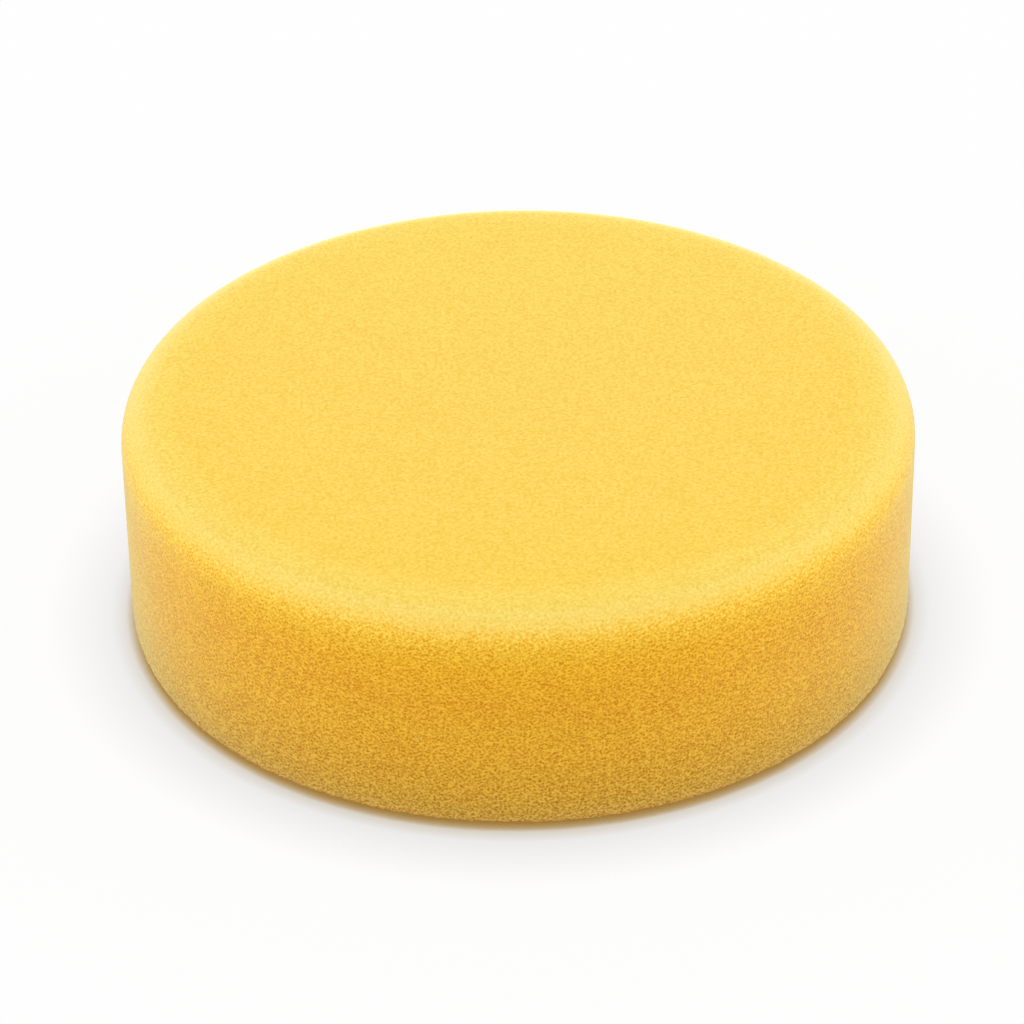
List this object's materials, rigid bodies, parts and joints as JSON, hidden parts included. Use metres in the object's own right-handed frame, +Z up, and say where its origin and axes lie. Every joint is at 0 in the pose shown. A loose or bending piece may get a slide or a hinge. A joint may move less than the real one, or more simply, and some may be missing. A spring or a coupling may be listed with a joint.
{
  "type": "polishing sponge",
  "caption": "Round one-piece disc of soft open-cell foam with flat faces and a rounded top rim, held in the hand to spread and buff polish.",
  "frame": {"origin": "centre of the flat underside", "axes": "+Z up along the disc's axis, from the underside to the flat top"},
  "size_m": [0.1, 0.1, 0.03],
  "materials": {
    "yellow_foam": "matte open-cell foam with fine pores"
  },
  "bodies": {
    "root": {"foam_disc": "yellow_foam"}
  },
  "joints": []
}
